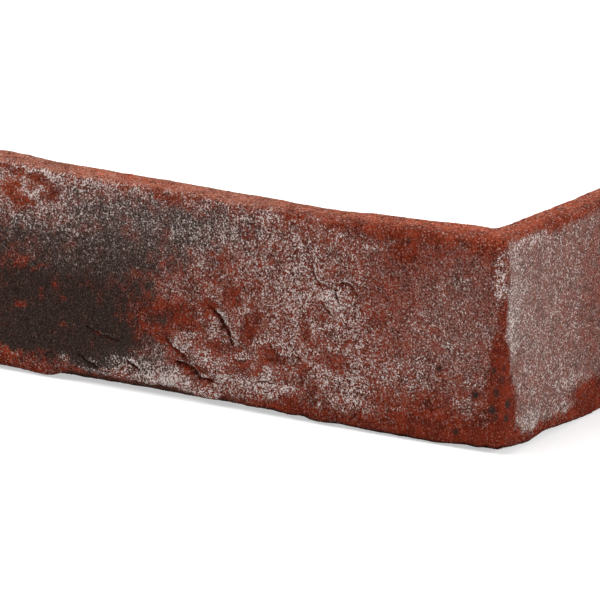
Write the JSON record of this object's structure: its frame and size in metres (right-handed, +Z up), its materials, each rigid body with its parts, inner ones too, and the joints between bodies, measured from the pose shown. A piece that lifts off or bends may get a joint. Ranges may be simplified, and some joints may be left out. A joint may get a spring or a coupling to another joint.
{
  "type": "corner cladding stone",
  "caption": "L-shaped cast concrete corner slip with a hand-moulded brick face, worn wavy beds and flat backs, for bonding round the outside corner of a wall.",
  "frame": {"origin": "middle of the stone's box in plan, at the lower bed that it stands on", "axes": "+X along the long leg towards the outer corner, -Y the way the long face looks, +Z up from bed to bed"},
  "size_m": [0.2108, 0.1009, 0.0673],
  "materials": {
    "pigmented_concrete": "matt red-brown pigmented concrete with burnt charcoal patches and a grey-white lime bloom"
  },
  "bodies": {
    "root": {"corner_stone": "pigmented_concrete"}
  },
  "joints": []
}
